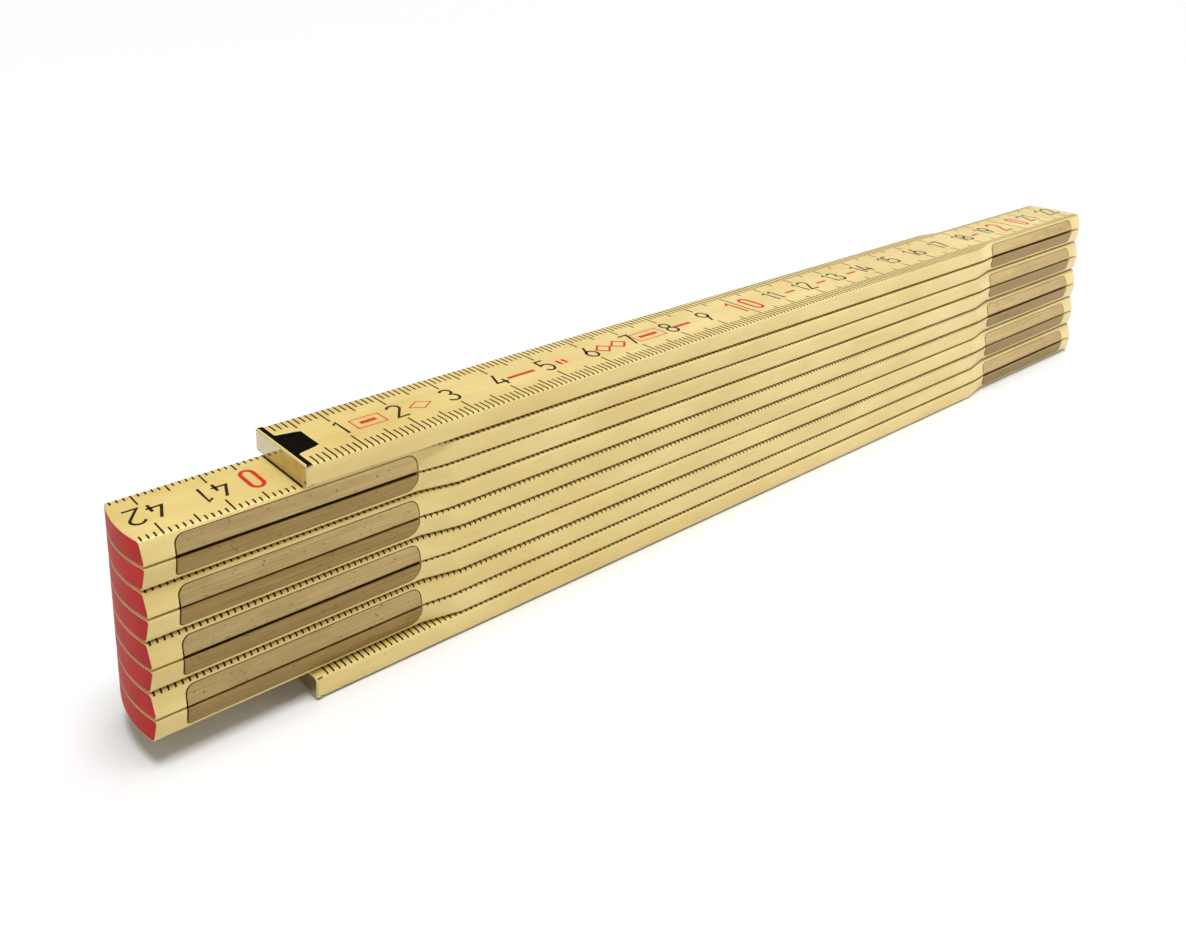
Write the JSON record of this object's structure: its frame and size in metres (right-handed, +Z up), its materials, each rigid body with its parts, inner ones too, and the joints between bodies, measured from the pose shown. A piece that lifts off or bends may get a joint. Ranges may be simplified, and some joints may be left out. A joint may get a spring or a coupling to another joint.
{
  "type": "folding rule",
  "caption": "Folding wooden rule with arc-ended lacquered sections joined by sprung plate hinges, folded into a stack, with metal end caps on the free ends.",
  "frame": {"origin": "centre of the folded stack's footprint, on the flat underside that it lies on", "axes": "+X along the sections, from the free ends of the scale to the joints of the first section; +Y across the sections; +Z up through the stack, along every joint axis"},
  "size_m": [0.2488, 0.016, 0.0366],
  "materials": {
    "lacquered_wood": "satin yellow lacquer over beech",
    "brass_plated_steel": "brushed, brass plated",
    "polished_brass": "polished",
    "rivet_steel": "plain",
    "spring_steel": "oiled spring steel",
    "ink_black": "printed ink",
    "ink_red": "printed ink",
    "red_end_paint": "paint on the arc ends"
  },
  "bodies": {
    "section_10": {"slat_10": "lacquered_wood", "end_cap_10": "polished_brass", "joint_9_10_lower_plate": "brass_plated_steel", "joint_9_10_rivet": "rivet_steel"},
    "section_09": {"slat_09": "lacquered_wood", "joint_9_10_upper_plate": "brass_plated_steel", "joint_9_10_spring_washer": "spring_steel", "joint_8_9_lower_plate": "brass_plated_steel", "joint_8_9_rivet": "rivet_steel"},
    "section_08": {"slat_08": "lacquered_wood", "joint_8_9_upper_plate": "brass_plated_steel", "joint_8_9_spring_washer": "spring_steel", "joint_7_8_lower_plate": "brass_plated_steel", "joint_7_8_rivet": "rivet_steel"},
    "section_07": {"slat_07": "lacquered_wood", "joint_7_8_upper_plate": "brass_plated_steel", "joint_7_8_spring_washer": "spring_steel", "joint_6_7_lower_plate": "brass_plated_steel", "joint_6_7_rivet": "rivet_steel"},
    "section_06": {"slat_06": "lacquered_wood", "joint_6_7_upper_plate": "brass_plated_steel", "joint_6_7_spring_washer": "spring_steel", "joint_5_6_lower_plate": "brass_plated_steel", "joint_5_6_rivet": "rivet_steel"},
    "section_05": {"slat_05": "lacquered_wood", "joint_5_6_upper_plate": "brass_plated_steel", "joint_5_6_spring_washer": "spring_steel", "joint_4_5_lower_plate": "brass_plated_steel", "joint_4_5_rivet": "rivet_steel"},
    "section_04": {"slat_04": "lacquered_wood", "joint_4_5_upper_plate": "brass_plated_steel", "joint_4_5_spring_washer": "spring_steel", "joint_3_4_lower_plate": "brass_plated_steel", "joint_3_4_rivet": "rivet_steel"},
    "section_03": {"slat_03": "lacquered_wood", "joint_3_4_upper_plate": "brass_plated_steel", "joint_3_4_spring_washer": "spring_steel", "joint_2_3_lower_plate": "brass_plated_steel", "joint_2_3_rivet": "rivet_steel"},
    "section_02": {"slat_02": "lacquered_wood", "joint_2_3_upper_plate": "brass_plated_steel", "joint_2_3_spring_washer": "spring_steel", "joint_1_2_lower_plate": "brass_plated_steel", "joint_1_2_rivet": "rivet_steel"},
    "section_01": {"slat_01": "lacquered_wood", "end_cap_01": "polished_brass", "joint_1_2_upper_plate": "brass_plated_steel", "joint_1_2_spring_washer": "spring_steel"}
  },
  "joints": [
    {"name": "fold_9_10", "type": "hinge", "parent": "section_10", "child": "section_09", "pos_m": [0.1, 0, 0.0037], "axis": [0, 0, 1], "range_deg": [-180, 180]},
    {"name": "fold_8_9", "type": "hinge", "parent": "section_09", "child": "section_08", "pos_m": [-0.1, 0, 0.0074], "axis": [0, 0, 1], "range_deg": [-180, 180]},
    {"name": "fold_7_8", "type": "hinge", "parent": "section_08", "child": "section_07", "pos_m": [0.1, 0, 0.0111], "axis": [0, 0, 1], "range_deg": [-180, 180]},
    {"name": "fold_6_7", "type": "hinge", "parent": "section_07", "child": "section_06", "pos_m": [-0.1, 0, 0.0148], "axis": [0, 0, 1], "range_deg": [-180, 180]},
    {"name": "fold_5_6", "type": "hinge", "parent": "section_06", "child": "section_05", "pos_m": [0.1, 0, 0.0185], "axis": [0, 0, 1], "range_deg": [-180, 180]},
    {"name": "fold_4_5", "type": "hinge", "parent": "section_05", "child": "section_04", "pos_m": [-0.1, 0, 0.0222], "axis": [0, 0, 1], "range_deg": [-180, 180]},
    {"name": "fold_3_4", "type": "hinge", "parent": "section_04", "child": "section_03", "pos_m": [0.1, 0, 0.0259], "axis": [0, 0, 1], "range_deg": [-180, 180]},
    {"name": "fold_2_3", "type": "hinge", "parent": "section_03", "child": "section_02", "pos_m": [-0.1, 0, 0.0296], "axis": [0, 0, 1], "range_deg": [-180, 180]},
    {"name": "fold_1_2", "type": "hinge", "parent": "section_02", "child": "section_01", "pos_m": [0.1, 0, 0.0333], "axis": [0, 0, 1], "range_deg": [-180, 180]}
  ]
}
